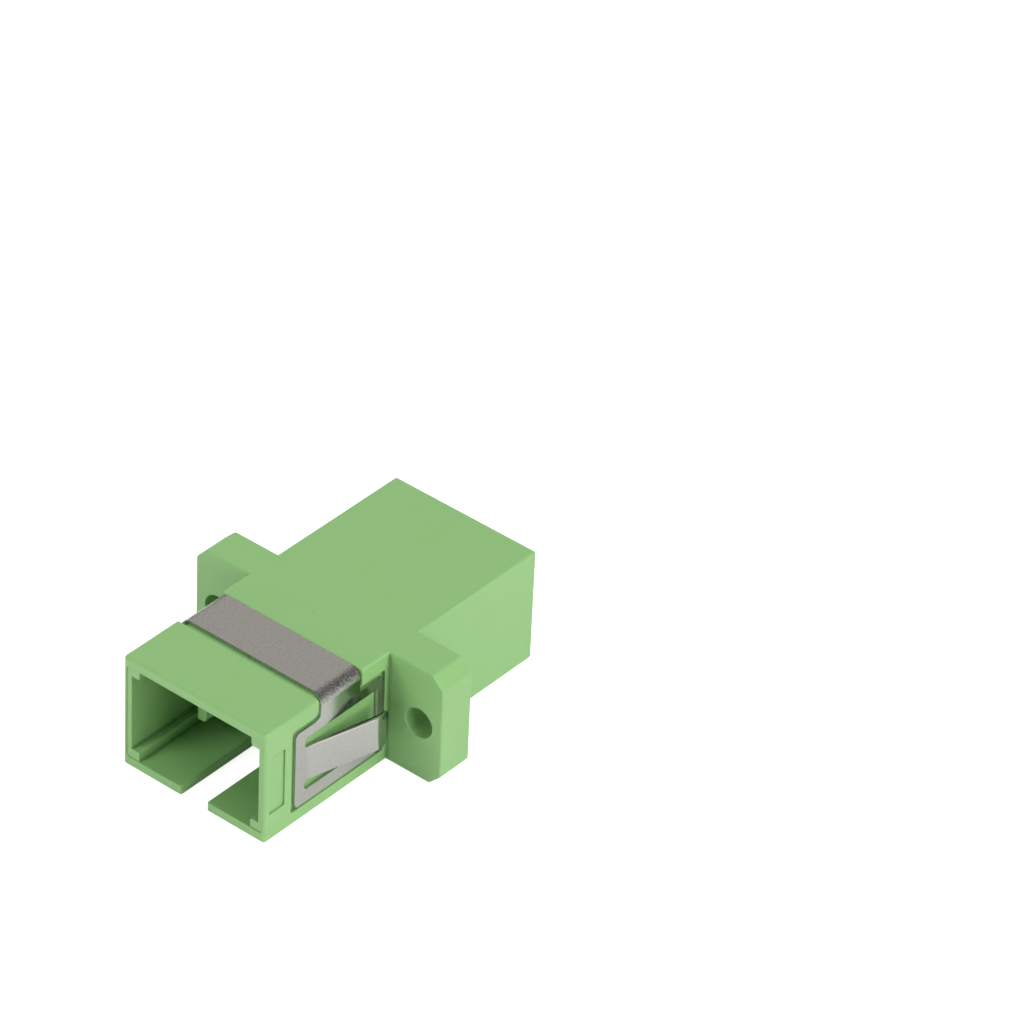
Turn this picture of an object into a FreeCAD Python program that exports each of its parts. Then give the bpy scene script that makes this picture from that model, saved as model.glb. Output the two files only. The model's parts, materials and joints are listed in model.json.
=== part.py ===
import FreeCAD, Part

import math
import os

from FreeCAD import Vector

# Flanged adapter that lines up two push-pull fibre plugs end to end.
# Millimetres. Z is up, with the key slots at the bottom, and Y runs along the ferrule axis.
# The origin is on that axis, at the middle of the flange's front face. The clip is on the front half.

# housing
body_width = 12.6
body_height = 9.1
body_length = 27.4
body_edge_radius = 0.2

screw_pitch = 18.0
screw_hole_diameter = 2.3
ear_overhang = 2.0
flange_thickness = 2.95
ear_chamfer = 0.95
ear_corner_radius = 0.35
ear_rim_radius = 0.12

# port, the same at both ends
port_height = 7.55
recess_width = 11.3
rib_gap = 9.9
rib_height = 0.72
rib_corner_radius = 0.2
core_step_width = 12.1
core_step_depth = 0.07
key_slot_width = 2.34
key_slot_length = 9.6
key_slot_end_radius = 0.5
key_slot_mouth_radius = 0.2

# stop rim and snap wedges that hold the inner halves
stop_thickness = 0.8
stop_width = 9.9
stop_height = 6.35
stop_corner_radius = 0.4
wedge_height = 0.2
wedge_length = 1.1
wedge_width = 3.0

# bare label recess on one side
label_setback = 0.5
label_length = 1.45
label_height = 4.7
label_depth = 0.14

# clip, one folded sheet, which holds a panel against the flange
sheet = 0.25
bend_radius = 0.68
clip_flange_gap = 0.5
plate_length = 8.7
plate_bottom_rise = 1.15
plate_height = 6.23
plate_corner_radius = 0.35
band_inset = 2.45
band_width = 3.9
neck_radius = 0.55
window_border = 0.9
window_rear_border = 0.6
window_bottom_border = 1.07
window_height = 4.33
slot_end_radius = 0.36
tongue_width = 2.75
tongue_root_inset = 0.15
tongue_root_radius = 1.2
tongue_angle = 14.8
tongue_run = 5.15
tongue_tip_radius = 2.0
tongue_tip_angle = 26.0
tongue_tip_run = 0.45
tongue_corner_radius = 0.3

# room for the clip in its pocket
clip_seat_gap = 0.02
clip_side_depth = 0.3
clip_top_depth = 0.1
pocket_front_room = 0.4
pocket_rear_room = 0.15
pocket_bottom_room = 0.15
pocket_top_room = 0.43
groove_front_room = 0.28
groove_rear_room = 0.12
pocket_corner_radius = 0.22
pocket_neck_radius = 0.38

# inner halves, two alike, back to back
fit_gap = 0.04
plate_thickness = 1.5
tube_diameter = 4.8
lip_thickness = 0.9
lip_bore_diameter = 2.66
lip_mouth_diameter = 4.0
tube_rim_chamfer = 0.15
arm_inner_x = 3.15
arm_thickness = 0.78
arm_height = 4.46
arm_reach = 9.0
arm_corner_radius = 0.35
arm_root_radius = 0.3
hook_ramp_length = 0.7
hook_flat_length = 0.5
hook_height = 0.33
hook_width = 3.6
peg_diameter = 0.9
peg_length = 0.6
peg_x = 4.3
peg_z = 2.2
peg_gap = 0.03

# split sleeve, which floats between the lips of the two tubes
sleeve_bore_diameter = 2.5
sleeve_diameter = 3.2
sleeve_length = 11.4
sleeve_slot_width = 0.5
sleeve_edge_chamfer = 0.12
sleeve_gap = 0.05
sleeve_float = 0.15

# places worked out from the sizes above
mid_y = flange_thickness / 2
front_y = mid_y - body_length / 2
rear_y = mid_y + body_length / 2
flange_width = screw_pitch + 2 * ear_overhang
side_x = body_width / 2
top_z = body_height / 2
holder_front_y = mid_y - plate_thickness
holder_rear_y = mid_y + plate_thickness
tube_length = sleeve_length / 2 + sleeve_float + lip_thickness
clip_front_y = -clip_flange_gap - plate_length
band_front_y = clip_front_y + band_inset
window_front_y = clip_front_y + window_border
clip_inner_x = side_x - clip_side_depth + clip_seat_gap
clip_inner_z = top_z - clip_top_depth + clip_seat_gap
clip_bottom_z = -top_z + plate_bottom_rise
window_bottom_z = clip_bottom_z + window_bottom_border

# how far a cutter runs past what it cuts, and what counts as no length at all
beyond = 1.0
tiny = 1e-6

PLANES = {
    "xz": (Vector(1, 0, 0), Vector(0, 0, 1), Vector(0, 1, 0)),
    "yz": (Vector(0, 1, 0), Vector(0, 0, 1), Vector(1, 0, 0)),
    "xy": (Vector(1, 0, 0), Vector(0, 1, 0), Vector(0, 0, 1)),
}


def lay(plane, u, v, w):
    """A point of a flat drawing (u, v), set at height w over its plane."""
    across, up, out = PLANES[plane]
    return across * u + up * v + out * w


def extrude(plane, wire, low, high):
    """The solid that a closed wire drawn at height low makes when it is carried on to height high."""
    return Part.Face(wire).extrude(PLANES[plane][2] * (high - low))


def prism(plane, corners, low, high):
    """A bar whose section is a polygon. Each corner is (u, v) or (u, v, radius of its rounding)."""
    spots = [Vector(c[0], c[1], 0) for c in corners]
    radii = [c[2] if len(c) > 2 else 0 for c in corners]
    edges = []
    ends = []
    for i, spot in enumerate(spots):
        back = (spots[i - 1] - spot).normalize()
        ahead = (spots[(i + 1) % len(spots)] - spot).normalize()
        half_angle = back.getAngle(ahead) / 2
        trim = radii[i] / math.tan(half_angle)
        first = spot + back * trim
        last = spot + ahead * trim
        ends.append((first, last))
        if radii[i] > 0:
            inward = (back + ahead).normalize()
            crown = spot + inward * (radii[i] / math.sin(half_angle) - radii[i])
            points = [lay(plane, p.x, p.y, low) for p in (first, crown, last)]
            edges.append(Part.Arc(*points).toShape())
    for i, (first, last) in enumerate(ends):
        following = ends[(i + 1) % len(ends)][0]
        if last.distanceToPoint(following) > tiny:
            points = [lay(plane, p.x, p.y, low) for p in (last, following)]
            edges.append(Part.LineSegment(*points).toShape())
    return extrude(plane, Part.Wire(Part.__sortEdges__(edges)), low, high)


def rectangle(u0, u1, v0, v1, radius=0):
    """The four corners of a rectangle, all rounded alike."""
    return [(u0, v0, radius), (u1, v0, radius), (u1, v1, radius), (u0, v1, radius)]


def folded_strip(plane, start, heading, moves, thickness, low, high):
    """A strip that starts at a point of its one face and turns away from the drawing's left.

    Each move is ("run", length) or ("bend", radius of the near face, degrees to the left).
    The strip's thickness lies to the right of the path, so a bend's far face is that much wider.
    """
    near = Vector(start[0], start[1], 0)
    angle = math.radians(heading)
    sides = {0: [], thickness: []}
    for move in moves:
        along = Vector(math.cos(angle), math.sin(angle), 0)
        left = Vector(-along.y, along.x, 0)
        if move[0] == "run":
            for offset, edges in sides.items():
                begin = near - left * offset
                stop = begin + along * move[1]
                points = [lay(plane, p.x, p.y, low) for p in (begin, stop)]
                edges.append(Part.LineSegment(*points).toShape())
            near = near + along * move[1]
            continue
        radius, degrees = move[1:]
        turn = math.radians(degrees)
        centre = near + left * math.copysign(radius, degrees)
        for offset, edges in sides.items():
            arm = near - left * offset - centre
            points = []
            for share in (0, 0.5, 1):
                c, s = math.cos(turn * share), math.sin(turn * share)
                p = centre + Vector(arm.x * c - arm.y * s, arm.x * s + arm.y * c, 0)
                points.append(lay(plane, p.x, p.y, low))
            edges.append(Part.Arc(*points).toShape())
        arm = near - centre
        c, s = math.cos(turn), math.sin(turn)
        near = centre + Vector(arm.x * c - arm.y * s, arm.x * s + arm.y * c, 0)
        angle += turn
    caps = []
    for pick, side in ((0, 0), (-1, -1)):
        tips = [edges[pick].Vertexes[side].Point for edges in sides.values()]
        caps.append(Part.LineSegment(*tips).toShape())
    loop = Part.Wire(Part.__sortEdges__(sides[0] + sides[thickness] + caps))
    return extrude(plane, loop, low, high)


def body_block():
    """The body before its hollows: a block with every edge rounded alike."""
    corner = Vector(-side_x, front_y, -top_z)
    block = Part.makeBox(body_width, body_length, body_height, corner)
    return block.makeFillet(body_edge_radius, block.Edges)


def flange_plate():
    """The flange before its holes: chamfered ears with a fine rounding round both faces."""
    half = flange_width / 2
    quarter = [(half, top_z - ear_chamfer), (half - ear_chamfer, top_z)]
    side = quarter + [(-x, z) for x, z in reversed(quarter)]
    outline = side + [(-x, -z) for x, z in side]
    section = [(x, z, ear_corner_radius) for x, z in outline]
    plate = prism("xz", section, 0, flange_thickness)
    rims = [e for e in plate.Edges if e.BoundBox.YLength < tiny]
    return plate.makeFillet(ear_rim_radius, rims)


def cylinder_y(radius, y0, y1, x=0, z=0):
    """A round bar along Y."""
    return Part.makeCylinder(radius, y1 - y0, Vector(x, y0, z), Vector(0, 1, 0))


def mirrored(shape, centre, normal):
    """The shape and its mirror image, fused."""
    return shape.fuse(shape.mirror(centre, normal))


def port_section(gap=0):
    """The port's cross shape: wide where the latch arms flex, narrow between the corner ribs."""
    wide = recess_width / 2 - gap
    narrow = rib_gap / 2 - gap
    high = port_height / 2 - gap
    low = port_height / 2 - rib_height - gap
    quarter = [(wide, low, 0), (narrow, low, rib_corner_radius), (narrow, high, 0)]
    half = quarter + [(-x, z, r) for x, z, r in reversed(quarter)]
    return half + [(-x, -z, r) for x, z, r in half]


def clip_outline(plate_room, neck_room, plate_radius, neck_rounding):
    """The clip seen from the side: a neck that comes down from the band, then a wider plate.

    The rooms widen it into the outline of its pocket: front, rear, bottom, top and front, rear.
    """
    front, rear, below, above = plate_room
    neck_front, neck_rear = neck_room
    y0 = clip_front_y - front
    y1 = clip_front_y + plate_length + rear
    neck0 = band_front_y - neck_front
    neck1 = band_front_y + band_width + neck_rear
    bottom = clip_bottom_z - below
    shoulder = clip_bottom_z + plate_height + above
    return [
        (y0, bottom, plate_radius),
        (y1, bottom, plate_radius),
        (y1, shoulder, plate_radius),
        (neck1, shoulder, 0),
        (neck1, top_z + beyond, 0),
        (neck0, top_z + beyond, 0),
        (neck0, shoulder, neck_rounding),
        (y0, shoulder, plate_radius),
    ]


def clip_pocket():
    """The groove over the top and the pocket on both sides that the clip drops into."""
    rooms = (pocket_front_room, pocket_rear_room, pocket_bottom_room, pocket_top_room)
    groove = (groove_front_room, groove_rear_room)
    outline = clip_outline(rooms, groove, pocket_corner_radius, pocket_neck_radius)
    reach = side_x + beyond
    footprint = prism("yz", outline, -reach, reach)
    floor_x = side_x - clip_side_depth
    floor_z = top_z - clip_top_depth
    # the corner under the bend follows the sheet's inner face
    core = [
        (-floor_x, -top_z - beyond, 0),
        (floor_x, -top_z - beyond, 0),
        (floor_x, floor_z, bend_radius),
        (-floor_x, floor_z, bend_radius),
    ]
    return footprint.cut(prism("xz", core, front_y, rear_y))


def key_slot():
    """The slot in the front half's floor for the plug's key, rounded at its inner end."""
    half = key_slot_width / 2
    end = front_y + key_slot_length
    flare = key_slot_mouth_radius + beyond
    outline = [
        (-half - flare, front_y - beyond),
        (-half - flare, front_y),
        (-half, front_y, key_slot_mouth_radius),
        (-half, end, key_slot_end_radius),
        (half, end, key_slot_end_radius),
        (half, front_y, key_slot_mouth_radius),
        (half + flare, front_y),
        (half + flare, front_y - beyond),
    ]
    return prism("xy", outline, -top_z - beyond, 0)


def front_port():
    """The front half's hollow, up to the stop rim, with the shallow step left by the core."""
    hollow = prism("xz", port_section(), front_y - beyond, holder_front_y - stop_thickness)
    half = core_step_width / 2
    step = rectangle(-half, half, -port_height / 2, port_height / 2, rib_corner_radius)
    return hollow.fuse(prism("xz", step, front_y - beyond, front_y + core_step_depth))


def snap_wedge():
    """A ramp on the ceiling that the inner halves ride over and snap behind."""
    wall = port_height / 2
    y0 = holder_rear_y + fit_gap
    outline = [
        (y0, wall + wedge_height),
        (y0, wall - wedge_height),
        (y0 + wedge_length, wall),
        (y0 + wedge_length, wall + wedge_height),
    ]
    return prism("yz", outline, -wedge_width / 2, wedge_width / 2)


def label_recess():
    """A shallow bare field on the right side, near the front opening."""
    y0 = front_y + label_setback
    field = rectangle(y0, y0 + label_length, -label_height / 2, label_height / 2, label_depth)
    return prism("yz", field, side_x - label_depth, side_x + beyond)


def make_housing():
    """One moulding: two ports end to end, the screw flange, the stop rim and the clip's pockets."""
    solid = body_block().fuse(flange_plate()).removeSplitter()

    centre = Vector(0, mid_y, 0)
    ends = Vector(0, 1, 0)
    front_step = front_port()
    rear_step = front_step.mirror(centre, ends)
    seat = prism("xz", port_section(), holder_front_y, rear_y + beyond)
    half_w, half_h = stop_width / 2, stop_height / 2
    opening = rectangle(-half_w, half_w, -half_h, half_h, stop_corner_radius)
    throat = prism("xz", opening, front_y, holder_front_y + beyond)
    solid = solid.cut([front_step, rear_step, seat, throat])

    slot = key_slot()
    solid = solid.cut([slot, slot.mirror(centre, ends)])
    holes = [
        cylinder_y(screw_hole_diameter / 2, -beyond, flange_thickness + beyond, x=side * screw_pitch / 2)
        for side in (-1, 1)
    ]
    solid = solid.cut(holes + [clip_pocket(), label_recess()])
    wedge = snap_wedge()
    return solid.fuse([wedge, wedge.mirror(Vector(0, 0, 0), Vector(0, 0, 1))]).removeSplitter()


def clip_window():
    """The opening in a side plate that the tongue is cut out of, with two rounded slot ends."""
    y0 = window_front_y
    y1 = clip_front_y + plate_length - window_rear_border
    bottom = window_bottom_z
    top = bottom + window_height
    slot = (window_height - tongue_width) / 2
    end = min(slot_end_radius, slot / 2)
    reach = side_x + beyond
    opening = prism("yz", rectangle(y0 + tongue_root_inset, y1, bottom, top), -reach, reach)
    lower = prism("yz", rectangle(y0, y1, bottom, bottom + slot, end), -reach, reach)
    upper = prism("yz", rectangle(y0, y1, top - slot, top, end), -reach, reach)
    return opening.fuse([lower, upper])


def clip_tongue():
    """The right-hand tongue, which leans out of its window and straightens at its free end."""
    moves = [
        ("run", tongue_root_inset * 2),
        ("bend", tongue_root_radius, -tongue_angle),
        ("run", tongue_run),
        ("bend", tongue_tip_radius, tongue_tip_angle),
        ("run", tongue_tip_run),
    ]
    start = (clip_inner_x, window_front_y - tongue_root_inset)
    middle = window_bottom_z + window_height / 2
    half = tongue_width / 2
    strip = folded_strip("xy", start, 90, moves, sheet, middle - half, middle + half)
    free_end = start[1] + tongue_run
    corners = [e for e in strip.Edges if abs(e.Length - sheet) < tiny and e.CenterOfMass.y > free_end]
    return strip.makeFillet(tongue_corner_radius, corners)


def make_clip():
    """One stainless sheet folded over the housing: a band, two windowed plates and two tongues."""
    side_run = ("run", clip_inner_z - bend_radius - clip_bottom_z)
    bend = ("bend", bend_radius, 90)
    moves = [side_run, bend, ("run", 2 * (clip_inner_x - bend_radius)), bend, side_run]
    start = (clip_inner_x, clip_bottom_z)
    clip_rear_y = clip_front_y + plate_length
    folded = folded_strip("xz", start, 90, moves, sheet, clip_front_y, clip_rear_y)
    outline = clip_outline((0, 0, 0, 0), (0, 0), plate_corner_radius, neck_radius)
    reach = side_x + beyond
    blank = folded.common(prism("yz", outline, -reach, reach))
    tongue = clip_tongue()
    pair = [tongue, tongue.mirror(Vector(0, 0, 0), Vector(1, 0, 0))]
    return blank.cut(clip_window()).fuse(pair).removeSplitter()


def latch_arm(joint_y):
    """The right-hand arm, flared into the plate at its root."""
    tip = joint_y - arm_reach
    root = joint_y - plate_thickness
    inner, outer = arm_inner_x, arm_inner_x + arm_thickness
    half = arm_height / 2
    section = [
        (inner, -half, arm_corner_radius),
        (outer, -half, 0),
        (outer, half, 0),
        (inner, half, arm_corner_radius),
    ]
    arm = prism("xz", section, tip, joint_y)

    flare = arm_root_radius
    root_outline = [
        (inner - flare, joint_y),
        (inner - flare, root),
        (inner, root, flare),
        (inner, root - flare),
        (outer, root - flare),
        (outer, root, flare),
        (outer + flare, root),
        (outer + flare, joint_y),
    ]
    flat = half - arm_corner_radius
    return arm.fuse([prism("xy", root_outline, -flat, flat), latch_hook(tip)])


def latch_hook(tip):
    """The hook on the arm's inner face: a ramp from the tip, a flat and a square locking shoulder."""
    inner = arm_inner_x
    peak = arm_inner_x - hook_height
    shoulder = tip + hook_ramp_length + hook_flat_length
    outline = [
        (inner + arm_thickness / 2, tip),
        (inner, tip),
        (peak, tip + hook_ramp_length),
        (peak, shoulder),
        (inner + arm_thickness / 2, shoulder),
    ]
    return prism("xy", outline, -hook_width / 2, hook_width / 2)


def make_latch_holder(joint_y):
    """One inner half: a plate, the tube that keeps the sleeve, and two latch arms."""
    plate = prism("xz", port_section(fit_gap), joint_y - plate_thickness, joint_y)
    tube = cylinder_y(tube_diameter / 2, joint_y - tube_length, joint_y)
    tip_rim = [e for e in tube.Edges if e.BoundBox.YMax < joint_y - tube_length + tiny]
    tube = tube.makeChamfer(tube_rim_chamfer, tip_rim)
    arms = mirrored(latch_arm(joint_y), Vector(0, 0, 0), Vector(1, 0, 0))
    peg = cylinder_y(peg_diameter / 2, joint_y - peg_length, joint_y + peg_length, peg_x, peg_z)
    solid = plate.fuse([tube, arms, peg])

    lip_y = joint_y - tube_length
    seat = cylinder_y(sleeve_diameter / 2 + sleeve_gap, lip_y + lip_thickness, joint_y + beyond)
    lip = cylinder_y(lip_bore_diameter / 2, lip_y - beyond, joint_y)
    flare = (lip_mouth_diameter - lip_bore_diameter) / 2
    mouth = Part.makeCone(
        lip_mouth_diameter / 2, lip_bore_diameter / 2, flare, Vector(0, lip_y, 0), Vector(0, 1, 0)
    )
    socket = cylinder_y(
        peg_diameter / 2 + peg_gap, joint_y - peg_length - peg_gap, joint_y + beyond, -peg_x, peg_z
    )
    return solid.cut([seat, lip, mouth, socket]).removeSplitter()


def make_sleeve():
    """The split ceramic sleeve, a tube with chamfered ends and one slot along its top."""
    y0 = mid_y - sleeve_length / 2
    y1 = mid_y + sleeve_length / 2
    outer = sleeve_diameter / 2
    inner = sleeve_bore_diameter / 2
    edge = sleeve_edge_chamfer
    front = [(inner, y0 + edge), (inner + edge, y0), (outer - edge, y0), (outer, y0 + edge)]
    rear = [(outer, y1 - edge), (outer - edge, y1), (inner + edge, y1), (inner, y1 - edge)]
    section = prism("xy", front + rear, 0, beyond)
    face = [f for f in section.Faces if abs(f.CenterOfMass.z) < tiny][0]
    tube = face.revolve(Vector(0, 0, 0), Vector(0, 1, 0), 360)
    half = sleeve_slot_width / 2
    slot = prism("xz", rectangle(-half, half, 0, outer + beyond), y0 - beyond, y1 + beyond)
    return tube.cut(slot)


def build():
    """Every piece by its node name."""
    front = make_latch_holder(mid_y)
    rear = front.copy()
    rear.rotate(Vector(0, mid_y, 0), Vector(0, 0, 1), 180)
    return {
        "housing": make_housing(),
        "mounting_clip": make_clip(),
        "front_latch_holder": front,
        "rear_latch_holder": rear,
        "alignment_sleeve": make_sleeve(),
    }


os.makedirs("parts", exist_ok=True)
for node, shape in build().items():
    shape.exportStep("parts/" + node + ".step")
    print(node, shape.ShapeType, len(shape.Solids), round(shape.Volume, 3), shape.isValid())
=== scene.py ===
import json
import math

import bmesh
import bpy
import numpy as np
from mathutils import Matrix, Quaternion, Vector


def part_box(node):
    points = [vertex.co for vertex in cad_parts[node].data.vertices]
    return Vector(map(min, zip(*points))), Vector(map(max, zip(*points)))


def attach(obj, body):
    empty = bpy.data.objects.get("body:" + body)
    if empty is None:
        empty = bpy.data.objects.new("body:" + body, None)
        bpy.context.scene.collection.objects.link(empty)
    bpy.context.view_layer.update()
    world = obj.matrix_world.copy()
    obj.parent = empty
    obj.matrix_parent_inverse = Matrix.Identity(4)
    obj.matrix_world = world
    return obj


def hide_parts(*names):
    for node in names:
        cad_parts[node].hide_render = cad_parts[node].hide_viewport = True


mm = 0.001
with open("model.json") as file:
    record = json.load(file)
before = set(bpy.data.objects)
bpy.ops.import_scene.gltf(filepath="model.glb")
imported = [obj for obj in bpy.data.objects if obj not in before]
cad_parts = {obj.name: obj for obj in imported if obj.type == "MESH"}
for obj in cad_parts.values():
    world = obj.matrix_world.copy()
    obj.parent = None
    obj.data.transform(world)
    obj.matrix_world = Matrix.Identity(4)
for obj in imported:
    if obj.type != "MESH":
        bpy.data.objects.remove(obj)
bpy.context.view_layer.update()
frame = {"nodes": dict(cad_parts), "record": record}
print("frame loaded:", ", ".join(sorted(frame["nodes"])))


# nodes and colours

def linearColour(hexText):
    # sRGB to linear: divided by 12.92 near black, and a power of 2.4 above it
    parts = [int(hexText[i:i + 2], 16) / 255 for i in (1, 3, 5)]
    return [c / 12.92 if c <= 0.04045 else ((c + 0.055) / 1.055) ** 2.4 for c in parts] + [1]


def addNode(tree, kind, settings=None, links=None):
    # one node: a setting is an attribute of the node or the value of a socket, a link is (node, output)
    node = tree.nodes.new(kind)
    for key, value in (settings or {}).items():
        if isinstance(key, str) and hasattr(node, key):
            setattr(node, key, value)
        else:
            node.inputs[key].default_value = value
    for key, (source, output) in (links or {}).items():
        tree.links.new(source.outputs[output], node.inputs[key])
    return node


def newMaterial(name):
    material = bpy.data.materials.new(name)
    material.use_nodes = True
    material.node_tree.nodes.clear()
    return material, material.node_tree


def addNoise(tree, place, size, detail, roughness=0.5):
    # mottling whose patches are about a size in mm
    return addNode(
        tree, "ShaderNodeTexNoise",
        {"Scale": 1 / (size * mm), "Detail": detail, "Roughness": roughness}, {"Vector": (place, "Object")},
    )


def addRange(tree, source, output, low, high):
    # a value brought to 0 at low and to 1 at high
    return addNode(
        tree, "ShaderNodeMapRange", {"From Min": low, "From Max": high}, {"Value": (source, output)}
    )


def addRelief(tree, height, output, depth, below=None):
    # bumps of a depth in mm, laid over those below
    links = {"Height": (height, output)}
    if below:
        links["Normal"] = (below, "Normal")
    return addNode(tree, "ShaderNodeBump", {"Distance": depth * mm}, links)


def addGloss(tree, grain, values):
    # roughness that varies with the grain by its spread on both sides
    middle, spread = values["roughness"], values["roughnessSpread"]
    return addNode(
        tree, "ShaderNodeMapRange", {"To Min": middle - spread, "To Max": middle + spread},
        {"Value": (grain, "Fac")},
    )


def addSurface(tree, settings, links):
    surface = addNode(tree, "ShaderNodeBsdfPrincipled", settings, links)
    addNode(tree, "ShaderNodeOutputMaterial", {}, {"Surface": (surface, "BSDF")})


# materials

greenPlastic = {
    "colour": "#89B876",
    "mottle": "#86B571",      # the pigment's slightly deeper patches
    "roughness": 0.42,
    "roughnessSpread": 0.06,
    "grainSize": 0.11,        # mm, spark-eroded texture, drawn coarser than its real 0.03 so that it shows
    "grainDepth": 0.0006,     # mm
    "patchSize": 3.5,         # mm
    # painted shade: the dark green that corners and gaps are coloured towards
    "paintedShadeColour": "#0F2C09",
    "paintedShadeReach": 0.4,       # mm, painted shade: corners and gaps this narrow are coloured darker, as if deeper and in shade
    "paintedShadeOpen": (0.25, 0.85),     # share of open sky where the painted shade is darkest, and where it ends
    "glow": 0.1,              # light that goes in and comes out again, seen at thin edges
    "glowDepth": 0.15,        # mm
    "glowSpread": (0.6, 1.0, 0.4),   # shares of that depth for red, green and blue
    "ior": 1.64,
}


def mouldedPlastic(name, values):
    # PBT moulded in a spark-eroded tool: even satin green, a little soft in depth, with no directional
    # grain, and with painted shade in its corners and gaps
    material, tree = newMaterial(name)
    place = addNode(tree, "ShaderNodeTexCoord")
    patches = addNoise(tree, place, values["patchSize"], 2.0)
    grain = addNoise(tree, place, values["grainSize"], 3.0, 0.6)
    pigment = addNode(
        tree, "ShaderNodeMix",
        {"data_type": "RGBA", 6: linearColour(values["colour"]), 7: linearColour(values["mottle"])},
        {0: (patches, "Fac")},
    )
    # painted shade: the pigment is mixed towards a dark green where the occlusion node finds little open sky
    sky = addNode(
        tree, "ShaderNodeAmbientOcclusion",
        {"Distance": values["paintedShadeReach"] * mm, "samples": 6, "only_local": True},
    )
    paintedShadeFactor = addRange(tree, sky, "AO", *values["paintedShadeOpen"])
    colour = addNode(
        tree, "ShaderNodeMix",
        {"data_type": "RGBA", 6: linearColour(values["paintedShadeColour"])},
        {0: (paintedShadeFactor, "Result"), 7: (pigment, 2)},
    )
    gloss = addGloss(tree, grain, values)
    relief = addRelief(tree, grain, "Fac", values["grainDepth"])
    addSurface(
        tree,
        {"Subsurface Weight": values["glow"], "Subsurface Scale": values["glowDepth"] * mm,
         "Subsurface Radius": values["glowSpread"], "IOR": values["ior"]},
        {"Base Color": (colour, 2), "Roughness": (gloss, "Result"), "Normal": (relief, "Normal")},
    )
    return material


springSheet = {
    "colour": "#C4C3C1",
    "dents": "#B5B4B2",       # small dull dents left by tumbling
    "dentRange": (0.42, 0.68),       # part of the grain over which a dent turns dull
    "roughness": 0.13,
    "roughnessSpread": 0.05,
    "grainSize": 0.09,        # mm, size of those dents
    "grainDepth": 0.0012,     # mm
    "rollSize": 0.5,          # mm, slow waves left by rolling the strip
    "rollDepth": 0.0008,      # mm
    "peelSize": 0.08,         # mm, orange peel where the strip was stretched over the bend
    "peelDepth": 0.024,       # mm
    "pits": "#848382",        # the dull pits in it
    "pitRange": (0.47, 0.55),        # part of the peel over which a pit turns dull
    "bendX": (5.4, 5.7),      # mm, |x| at which the peel begins and at which it is full
    "bendZ": (3.8, 4.1),      # mm, and the same for z
}


def tumbledStainless(name, values):
    # cold-rolled stainless strip, punched, folded and tumbled: a satin mirror that sparkles where it bends
    material, tree = newMaterial(name)
    place = addNode(tree, "ShaderNodeTexCoord")
    grain = addNoise(tree, place, values["grainSize"], 2.0, 0.55)
    waves = addNoise(tree, place, values["rollSize"], 1.0)
    peel = addNoise(tree, place, values["peelSize"], 1.0)
    axes = addNode(tree, "ShaderNodeSeparateXYZ", {}, {"Vector": (place, "Object")})
    across = addNode(tree, "ShaderNodeMath", {"operation": "ABSOLUTE"}, {0: (axes, "X")})
    beyondX = addRange(tree, across, "Value", *(x * mm for x in values["bendX"]))
    beyondZ = addRange(tree, axes, "Z", *(z * mm for z in values["bendZ"]))
    inBend = addNode(
        tree, "ShaderNodeMath", {"operation": "MULTIPLY"}, {0: (beyondX, "Result"), 1: (beyondZ, "Result")}
    )
    peelHere = addNode(
        tree, "ShaderNodeMath", {"operation": "MULTIPLY"}, {0: (peel, "Fac"), 1: (inBend, "Value")}
    )
    dents = addRange(tree, grain, "Fac", *values["dentRange"])
    dented = addNode(
        tree, "ShaderNodeMix",
        {"data_type": "RGBA", 6: linearColour(values["colour"]), 7: linearColour(values["dents"])},
        {0: (dents, "Result")},
    )
    pits = addRange(tree, peel, "Fac", *values["pitRange"])
    pitsHere = addNode(
        tree, "ShaderNodeMath", {"operation": "MULTIPLY"}, {0: (pits, "Result"), 1: (inBend, "Value")}
    )
    colour = addNode(
        tree, "ShaderNodeMix", {"data_type": "RGBA", 7: linearColour(values["pits"])},
        {0: (pitsHere, "Value"), 6: (dented, 2)},
    )
    gloss = addGloss(tree, grain, values)
    rolled = addRelief(tree, waves, "Fac", values["rollDepth"])
    stretched = addRelief(tree, peelHere, "Value", values["peelDepth"], rolled)
    tumbled = addRelief(tree, grain, "Fac", values["grainDepth"], stretched)
    addSurface(
        tree, {"Metallic": 1.0},
        {"Base Color": (colour, 2), "Roughness": (gloss, "Result"), "Normal": (tumbled, "Normal")},
    )
    return material


sleeveCeramic = {
    "colour": "#F1EEE6",
    "roughness": 0.16,
    "ringScale": 1.0,         # mm; the rings left by centreless grinding come out a third of this apart
    "ringWander": 0.6,
    "ringDepth": 0.0004,      # mm
    "ior": 2.1,
}


def groundZirconia(name, values):
    # zirconia, sintered and ground on its outside: warm white, glossy, with fine rings round it
    material, tree = newMaterial(name)
    place = addNode(tree, "ShaderNodeTexCoord")
    rings = addNode(
        tree, "ShaderNodeTexWave",
        {"wave_type": "BANDS", "bands_direction": "Y", "Scale": 1 / (values["ringScale"] * mm),
         "Distortion": values["ringWander"]},
        {"Vector": (place, "Object")},
    )
    relief = addRelief(tree, rings, "Fac", values["ringDepth"])
    addSurface(
        tree,
        {"Base Color": linearColour(values["colour"]), "Roughness": values["roughness"],
         "IOR": values["ior"]},
        {"Normal": (relief, "Normal")},
    )
    return material


# pieces

def newPiece(name, mesh, body, material, stands=()):
    # a piece that rides a body, and stands for the nodes named
    piece = bpy.data.objects.new(name, mesh)
    bpy.context.scene.collection.objects.link(piece)
    mesh.materials.clear()
    mesh.materials.append(material)
    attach(piece, body)
    if stands:
        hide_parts(*stands)
    return piece


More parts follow.
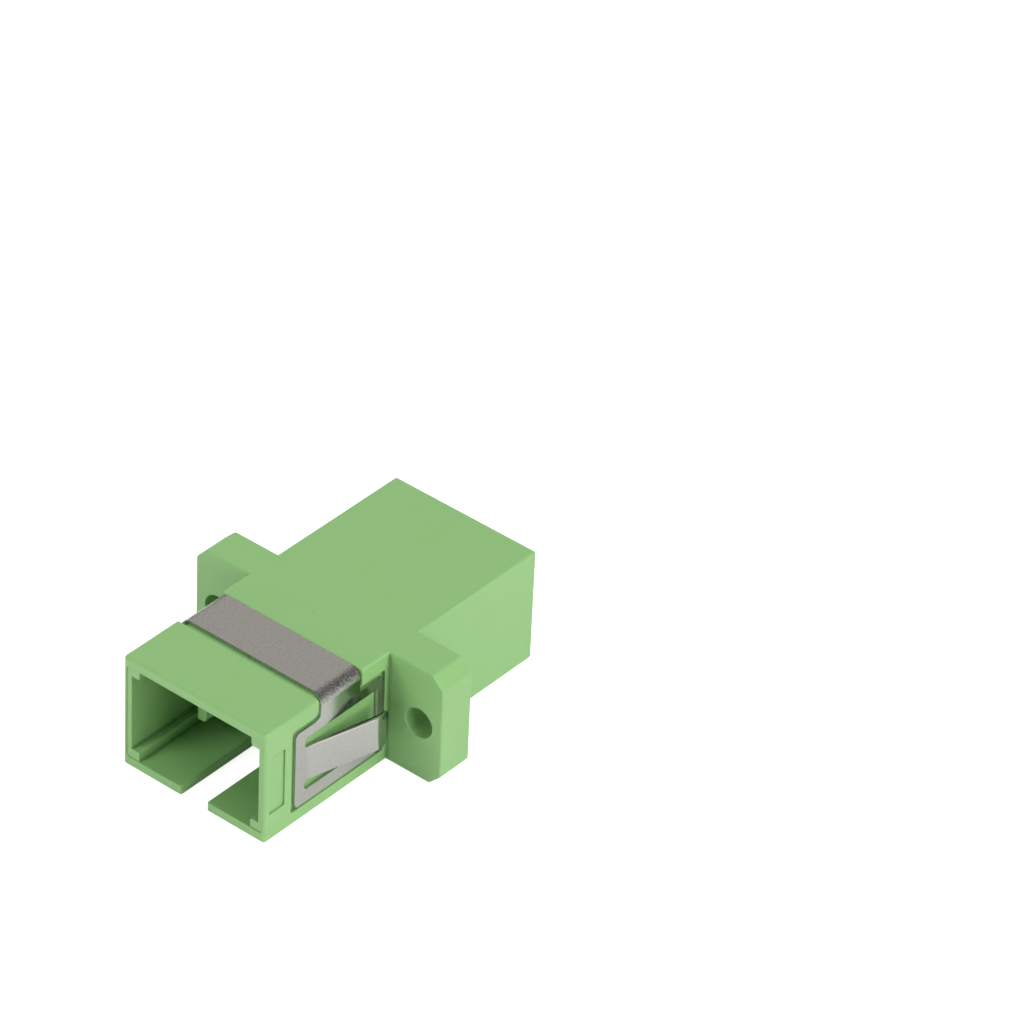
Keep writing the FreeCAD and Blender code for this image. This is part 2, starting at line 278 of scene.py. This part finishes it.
def roundedCopy(node, name, body, material, edge):
    # the node's triangles welded to one skin with flat faces joined, then every crisp edge rounded:
    # a share of the radius by whether the edge is an outer one or an inner corner, and by place
    mesh = frame["nodes"][node].data.copy()
    work = bmesh.new()
    work.from_mesh(mesh)
    bmesh.ops.remove_doubles(work, verts=work.verts, dist=edge["weld"] * mm)
    bmesh.ops.dissolve_limit(
        work, angle_limit=math.radians(edge["flat"]), verts=work.verts, edges=work.edges
    )
    weight = work.edges.layers.float.new("bevel_weight_edge")
    for e in work.edges:
        if not e.is_manifold or math.degrees(e.calc_face_angle()) < edge["crisp"]:
            continue
        e[weight] = edge["outer"] if e.is_convex else edge["inner"]
        ends = [(abs(v.co.x) / mm, v.co.y / mm, v.co.z / mm) for v in e.verts]
        for low, high, outer, inner in edge["places"]:
            if all(low[i] <= end[i] <= high[i] for end in ends for i in range(3)):
                e[weight] = outer if e.is_convex else inner
    for f in work.faces:
        f.smooth = True
    work.to_mesh(mesh)
    work.free()
    piece = newPiece(name, mesh, body, material, [node])
    rounding = piece.modifiers.new("edges", "BEVEL")
    rounding.limit_method = "WEIGHT"
    rounding.width = edge["radius"] * mm
    rounding.segments = edge["segments"]
    rounding.use_clamp_overlap = False
    shade = piece.modifiers.new("shading", "WEIGHTED_NORMAL")
    shade.weight = 100
    shade.keep_sharp = True


housingLow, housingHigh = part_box("housing")
frontY, rearY = housingLow.y / mm, housingHigh.y / mm
lowZ, topZ = housingLow.z / mm, housingHigh.z / mm

# weld in mm; flat and crisp in degrees between faces: joined below the one, and rounded above the other
skin = {"weld": 1e-4, "flat": 0.3, "crisp": 20}

# radius in mm, and shares of it; each place is a box in |x|, y and z from a low to a high corner, in mm,
# then the share on the outer edges and the share in the inner corners that lie in it
mouldedEdge = {
    **skin, "radius": 0.12, "segments": 4, "outer": 0.5, "inner": 0.25,
    "places": [
        # round both mouths, where the wall beside the shallow step is thin
        ((0, frontY - 0.01, -9), (9, frontY + 0.01, 9), 0.35, 0.35),
        ((0, frontY + 0.01, -9), (9, frontY + 0.1, 9), 0.4, 0.05),
        ((0, rearY - 0.01, -9), (9, rearY + 0.01, 9), 0.35, 0.35),
        ((0, rearY - 0.1, -9), (9, rearY - 0.01, 9), 0.4, 0.05),
        # the lips of the port floors and of the key slots
        ((1.1, frontY - 0.01, lowZ + 0.7), (4.96, frontY + 0.01, lowZ + 0.8), 1.0, 0.35),
        ((0, frontY - 0.01, lowZ + 0.7), (1.4, -0.3, lowZ + 0.8), 1.0, 0.25),
        ((1.1, rearY - 0.01, lowZ + 0.7), (4.96, rearY + 0.01, lowZ + 0.8), 1.0, 0.35),
        ((0, 3.2, lowZ + 0.7), (1.4, rearY + 0.01, lowZ + 0.8), 1.0, 0.25),
        # the label field
        ((6.1, frontY + 0.3, -2.6), (6.4, frontY + 2.2, 2.6), 0.5, 0.3),
        # the snap wedges, whose flanks end in points
        ((0, 2.9, -9), (1.6, 4.2, -3.5), 0, 0),
        ((0, 2.9, 3.5), (1.6, 4.2, 9), 0, 0),
    ],
}
sheetEdge = {
    **skin, "radius": 0.035, "segments": 3, "outer": 1.0, "inner": 0.6,
    "places": [
        # the upper edges of the tongues, rolled over by the punch
        ((6.29, -7.95, 1.2), (7.7, -0.4, 1.22), 2.0, 0.6),
    ],
}
holderEdge = {
    **skin, "radius": 0.05, "segments": 2, "outer": 1.0, "inner": 0.5,
    "places": [
        # the flared roots of the latch arms, whose ends run out in points
        ((2.8, -0.4, -2), (4.3, 0.2, 2), 0, 0),
        ((2.8, 2.75, -2), (4.3, 3.35, 2), 0, 0),
    ],
}

green = mouldedPlastic("mouldedPbt", greenPlastic)
greenInner = mouldedPlastic("mouldedPbtInner", {**greenPlastic, "colour": "#8FBA7F"})
stainless = tumbledStainless("tumbledStainless", springSheet)
zirconia = groundZirconia("groundZirconia", sleeveCeramic)

roundedCopy("housing", "housing_moulding", "adapter_body", green, mouldedEdge)
roundedCopy("mounting_clip", "clip_sheet", "adapter_body", stainless, sheetEdge)
for end in ("front", "rear"):
    roundedCopy(
        end + "_latch_holder", end + "_holder_moulding", "adapter_body",
        greenInner, holderEdge,
    )
print("mouldings and clip finished")


def gridFaces(rows, columns, ringRows=False):
    # quads between the neighbours of a grid numbered row by row; columns close on themselves, rows if asked
    i = np.arange(rows if ringRows else rows - 1)[:, None]
    j = np.arange(columns)[None, :]
    below, right = (i + 1) % rows, (j + 1) % columns
    corners = [i * columns + j, i * columns + right, below * columns + right, below * columns + j]
    return np.stack(np.broadcast_arrays(*corners), -1).reshape(-1, 4).tolist()


def smoothMesh(name, points, faces):
    mesh = bpy.data.meshes.new(name)
    mesh.from_pydata((points * mm).tolist(), [], faces)
    mesh.polygons.foreach_set("use_smooth", np.ones(len(mesh.polygons), dtype=bool))
    return mesh


alignmentSleeve = {
    "wall": 0.35,             # mm
    "slot": 0.5,              # mm, width of the slot along the top
    "corner": 0.12,           # mm, radius left by tumbling on both ends of both faces
    "slotEdge": 0.03,         # mm, radius along the slot
    "slotAngle": 50,          # degrees between faces above which an edge is one of the slot's
    "around": 120, "cornerSteps": 6, "alongSteps": 20, "slotSteps": 2,
}


def splitSleeve(name, values):
    # a wall section in radius and length carried round the axis: each ring starts at the angle whose sine is
    # half the slot over its radius, so that the slot's two faces are flat and parallel
    bore = next(m for m in frame["record"]["mounts"] if m["name"] == "ferrule_bore")
    inner = bore["dims"]["r_mm"]
    outer = inner + values["wall"]
    low, high = (corner.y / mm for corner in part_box("alignment_sleeve"))
    corner = values["corner"]
    turn = np.linspace(0, np.pi / 2, values["cornerSteps"] + 1)
    flat = np.linspace(low + corner, high - corner, values["alongSteps"])[1:-1]
    lead, rise = corner * (1 - np.cos(turn)), corner * np.sin(turn)
    along = np.concatenate([low + lead, flat, high - lead[::-1]])
    lift = np.concatenate([rise, np.full(len(flat), corner), rise[::-1]])
    radius = np.concatenate([outer - corner + lift, inner + corner - lift[::-1]])
    along = np.concatenate([along, along[::-1]])
    start = np.arcsin(values["slot"] / 2 / radius)
    share = np.linspace(1, 0, values["around"] + 1)[:, None]
    angle = start + (2 * np.pi - 2 * start) * share
    points = np.stack(
        [radius * np.sin(angle), np.broadcast_to(along, angle.shape), radius * np.cos(angle)], -1
    ).reshape(-1, 3)
    rows, columns = angle.shape
    faces = gridFaces(rows, columns)
    # each slot face is a strip between the outer and the inner side of the section
    near = np.arange(columns // 2 - 1)
    strip = np.stack([near, near + 1, columns - 2 - near, columns - 1 - near], -1)
    faces += strip[:, ::-1].tolist() + (strip + (rows - 1) * columns).tolist()
    mesh = smoothMesh(name, points, faces)
    piece = newPiece(name, mesh, "floating_sleeve", zirconia, ["alignment_sleeve"])
    rounding = piece.modifiers.new("edges", "BEVEL")
    rounding.limit_method = "ANGLE"
    rounding.angle_limit = math.radians(values["slotAngle"])
    rounding.width = values["slotEdge"] * mm
    rounding.segments = values["slotSteps"]
    shade = piece.modifiers.new("shading", "WEIGHTED_NORMAL")
    shade.keep_sharp = True


splitSleeve("split_sleeve", alignmentSleeve)

witnessLines = {
    "wide": 0.11,             # mm
    "high": 0.006,            # mm
    "sunk": 0.03,             # mm, how far the underside lies inside the wall
    "profileSteps": 8, "lineSteps": 40, "ringSteps": 48,
    "fade": 12,               # an open line rises to its height within its length divided by this
    "seamX": -0.2,            # mm, where two inserts of the tool met along the length
    "seamEnd": 0.05,          # mm, the y at which that seam ends and the cross seam runs
    "crossStart": -4.2,       # mm
    "ring": (-0.1, 0.0, 0.42),   # mm, x, y and radius of the mark of a core pin
    "clearance": 0.12,        # mm, kept from the clip's band and from the rounded front edge
    "bandFlat": 0.01,         # mm, how far below the clip's top its band's corners are looked for
}


def witnessLine(path, closed, values):
    # a low bead: height times half of one plus the cosine across its width, carried along a path on the top
    # face, and run out to nothing at the ends of an open path
    step = np.gradient(path, axis=0) if not closed else np.roll(path, -1, 0) - np.roll(path, 1, 0)
    step /= np.linalg.norm(step, axis=1, keepdims=True)
    side = np.stack([step[:, 1], -step[:, 0]], -1)
    across = np.linspace(-1, 1, values["profileSteps"] + 1)
    crown = values["high"] * (1 + np.cos(np.pi * across)) / 2
    across = np.concatenate([across, across[::-1]]) * values["wide"] / 2
    crown = np.concatenate([crown, np.full(len(crown), -values["sunk"])])
    run = np.linspace(0, 1, len(path))[:, None]
    fade = np.ones_like(run) if closed else np.clip(np.minimum(run, 1 - run) * values["fade"], 0, 1)
    flatPoints = path[:, None, :] + side[:, None, :] * across[None, :, None]
    height = topZ + np.where(crown > 0, crown * fade, crown)
    points = np.concatenate([flatPoints, height[..., None]], -1).reshape(-1, 3)
    rows, columns = len(path), len(across)
    faces = gridFaces(rows, columns, closed)
    if not closed:
        faces += [list(range(columns))[::-1], list(range((rows - 1) * columns, rows * columns))]
    return points, faces


def witnessMarks(name, values):
    # the lines stop short of the band, whose y range is that of the clip's highest points
    sheet = frame["nodes"]["mounting_clip"].data
    spots = np.empty(3 * len(sheet.vertices))
    sheet.vertices.foreach_get("co", spots)
    spots = spots.reshape(-1, 3) / mm
    band = spots[spots[:, 2] > spots[:, 2].max() - values["bandFlat"], 1]
    room = values["clearance"]
    seam, end = values["seamX"], values["seamEnd"]
    bandFront, bandRear = band.min() - room, band.max() + room
    share = np.linspace(0, 1, values["lineSteps"])[:, None]
    straight = [
        ((seam, frontY + room), (seam, bandFront)),
        ((seam, bandRear), (seam, end)),
        ((values["crossStart"], end), (seam, end)),
    ]
    lines = [(np.array(a) + (np.array(b) - np.array(a)) * share, False) for a, b in straight]
    x, y, radius = values["ring"]
    turn = np.linspace(0, 2 * np.pi, values["ringSteps"], endpoint=False)
    lines.append((np.stack([x + radius * np.cos(turn), y + radius * np.sin(turn)], -1), True))
    points, faces = [], []
    for path, closed in lines:
        linePoints, lineFaces = witnessLine(path, closed, values)
        offset = sum(len(p) for p in points)
        faces += [[i + offset for i in face] for face in lineFaces]
        points.append(linePoints)
    mesh = smoothMesh(name, np.concatenate(points), faces)
    newPiece(name, mesh, "adapter_body", green)


witnessMarks("witness_marks", witnessLines)
print("sleeve and witness marks finished")


# stage, light and camera

studio = {
    "floorColour": "#E9E9E7",
    "floorSeen": 0.85,        # added for the camera, so that the board is white to its edge
    "floorMirrored": 0.125,   # added for reflections
    "floorSize": 4000,        # mm
    "worldLevel": 0.03,
    "worldMirrored": 0.40,    # the level that reflections see; the camera sees 1
}


def makeFloor(values):
    half = values["floorSize"] * mm / 2
    corners = np.array([(-1, -1), (1, -1), (1, 1), (-1, 1)]) * half
    mesh = bpy.data.meshes.new("floor")
    mesh.from_pydata(np.column_stack([corners, np.full(4, lowZ * mm)]).tolist(), [], [(0, 1, 2, 3)])
    floor = bpy.data.objects.new("floor", mesh)
    bpy.context.scene.collection.objects.link(floor)
    material, tree = newMaterial("paintedBoard")
    ray = addNode(tree, "ShaderNodeLightPath")
    mirrored = addNode(
        tree, "ShaderNodeMath", {"operation": "MULTIPLY", 1: values["floorMirrored"]},
        {0: (ray, "Is Glossy Ray")},
    )
    level = addNode(
        tree, "ShaderNodeMath", {"operation": "MULTIPLY_ADD", 1: values["floorSeen"]},
        {0: (ray, "Is Camera Ray"), 2: (mirrored, "Value")},
    )
    board = addNode(tree, "ShaderNodeBsdfDiffuse", {"Color": linearColour(values["floorColour"])})
    glow = addNode(tree, "ShaderNodeEmission", {}, {"Strength": (level, "Value")})
    both = addNode(tree, "ShaderNodeAddShader", {}, {0: (board, "BSDF"), 1: (glow, "Emission")})
    addNode(tree, "ShaderNodeOutputMaterial", {}, {"Surface": (both, "Shader")})
    mesh.materials.append(material)


def makeWorld(values):
    world = bpy.data.worlds.new("studio")
    bpy.context.scene.world = world
    world.use_nodes = True
    tree = world.node_tree
    tree.nodes.clear()
    ray = addNode(tree, "ShaderNodeLightPath")
    mirrored = addNode(
        tree, "ShaderNodeMapRange",
        {"To Min": values["worldLevel"], "To Max": values["worldMirrored"]},
        {"Value": (ray, "Is Glossy Ray")},
    )
    level = addNode(
        tree, "ShaderNodeMapRange", {"To Max": 1.0},
        {"Value": (ray, "Is Camera Ray"), "To Min": (mirrored, "Result")},
    )
    sky = addNode(tree, "ShaderNodeBackground", {}, {"Strength": (level, "Result")})
    addNode(tree, "ShaderNodeOutputWorld", {}, {"Surface": (sky, "Background")})


# distances and sizes in mm, powers in watts
lamps = {
    "rightBox": {"azimuth": 112, "elevation": 48, "distance": 850, "wide": 450, "high": 350, "power": 3.2},
    "rearBox": {"azimuth": 180, "elevation": 50, "distance": 850, "wide": 450, "high": 350, "power": 0.6},
    "overBox": {"azimuth": 35, "elevation": 72, "distance": 850, "wide": 400, "high": 350, "power": 1.25},
    "edgeBox": {"azimuth": 60, "elevation": 30, "distance": 850, "wide": 350, "high": 250, "power": 0.25},
    "frontBox": {"azimuth": -28, "elevation": 35, "distance": 850, "wide": 350, "high": 300, "power": 2.75},
    "frontCard": {"azimuth": -5, "elevation": 5, "distance": 800, "wide": 600, "high": 110, "power": 1.5},
    "rightCard": {"azimuth": 83, "elevation": 12, "distance": 700, "wide": 300, "high": 150, "power": 1.65},
    "sideCard": {"azimuth": 95, "elevation": 30, "distance": 800, "wide": 300, "high": 200, "power": 1.2},
    "leftCard": {"azimuth": -118, "elevation": 14, "distance": 800, "wide": 400, "high": 150, "power": 2.8},
}


def skyward(azimuth, elevation):
    # the direction at an azimuth from -Y towards +X and an elevation from the floor, both in degrees
    a, e = math.radians(azimuth), math.radians(elevation)
    return Vector((math.sin(a) * math.cos(e), -math.cos(a) * math.cos(e), math.sin(e)))


def makeLamp(name, values):
    towards = skyward(values["azimuth"], values["elevation"])
    data = bpy.data.lights.new(name, "AREA")
    data.shape = "RECTANGLE"
    data.size = values["wide"] * mm
    data.size_y = values["high"] * mm
    data.energy = values["power"]
    lamp = bpy.data.objects.new(name, data)
    bpy.context.scene.collection.objects.link(lamp)
    lamp.location = towards * values["distance"] * mm
    lamp.rotation_mode = "QUATERNION"
    lamp.rotation_quaternion = towards.to_track_quat("Z", "Y")
    lamp.visible_camera = False
    lamp.visible_glossy = False


# cards that only reflections see: what a satin mirror shows of the room
cards = {
    "darkBehind": {"azimuth": (120, 166), "elevation": (17, 60), "level": 0.3},
    "paleBehind": {"azimuth": (176, 250), "elevation": (8, 60), "level": 0.56},
    "darkFront": {"azimuth": (-110, 5), "elevation": (14, 75), "level": 0.05},
    "brightFront": {"azimuth": (25, 75), "elevation": (25, 55), "level": 1.0},
    "brightRight": {"azimuth": (94, 110), "elevation": (4, 34), "level": 3.0},
}
cardStock = {"distance": 600, "colour": "#FFFBF4", "turnSteps": 12, "riseSteps": 4}


def makeCard(name, values):
    turns = np.linspace(*values["azimuth"], cardStock["turnSteps"] + 1)
    rises = np.linspace(*values["elevation"], cardStock["riseSteps"] + 1)
    corners = [skyward(a, e) * cardStock["distance"] * mm for e in rises for a in turns]
    wide = len(turns)
    faces = [
        (i * wide + j, i * wide + j + 1, (i + 1) * wide + j + 1, (i + 1) * wide + j)
        for i in range(len(rises) - 1) for j in range(wide - 1)
    ]
    mesh = bpy.data.meshes.new(name)
    mesh.from_pydata(corners, [], faces)
    card = bpy.data.objects.new(name, mesh)
    bpy.context.scene.collection.objects.link(card)
    material, tree = newMaterial(name + "Cloth")
    lit = addNode(
        tree, "ShaderNodeEmission",
        {"Color": linearColour(cardStock["colour"]), "Strength": values["level"]},
    )
    addNode(tree, "ShaderNodeOutputMaterial", {}, {"Surface": (lit, "Emission")})
    mesh.materials.append(material)
    card.visible_camera = False
    card.visible_diffuse = False
    card.visible_shadow = False


viewpoint = {
    "place": (210.806, -246.058, 252.893),   # mm
    "aim": (-1.616, 22.254, 0),              # mm
    "roll": 2.836,                           # degrees
    "lens": 215.298, "sensor": 36,           # mm
    "clip": (10, 20000),                     # mm
}


def makeCamera(values):
    data = bpy.data.cameras.new("camera")
    data.lens = values["lens"]
    data.sensor_width = values["sensor"]
    data.clip_start, data.clip_end = (limit * mm for limit in values["clip"])
    camera = bpy.data.objects.new("camera", data)
    bpy.context.scene.collection.objects.link(camera)
    place = Vector(values["place"]) * mm
    ahead = Vector(values["aim"]) * mm - place
    camera.location = place
    camera.rotation_mode = "QUATERNION"
    level = ahead.to_track_quat("-Z", "Y")
    camera.rotation_quaternion = level @ Quaternion((0, 0, 1), math.radians(values["roll"]))
    bpy.context.scene.camera = camera


makeFloor(studio)
makeWorld(studio)
for name, values in lamps.items():
    makeLamp(name, values)
for name, values in cards.items():
    makeCard(name, values)
makeCamera(viewpoint)
bpy.context.scene.view_settings.view_transform = "Standard"
print("stage, lamps and camera set")
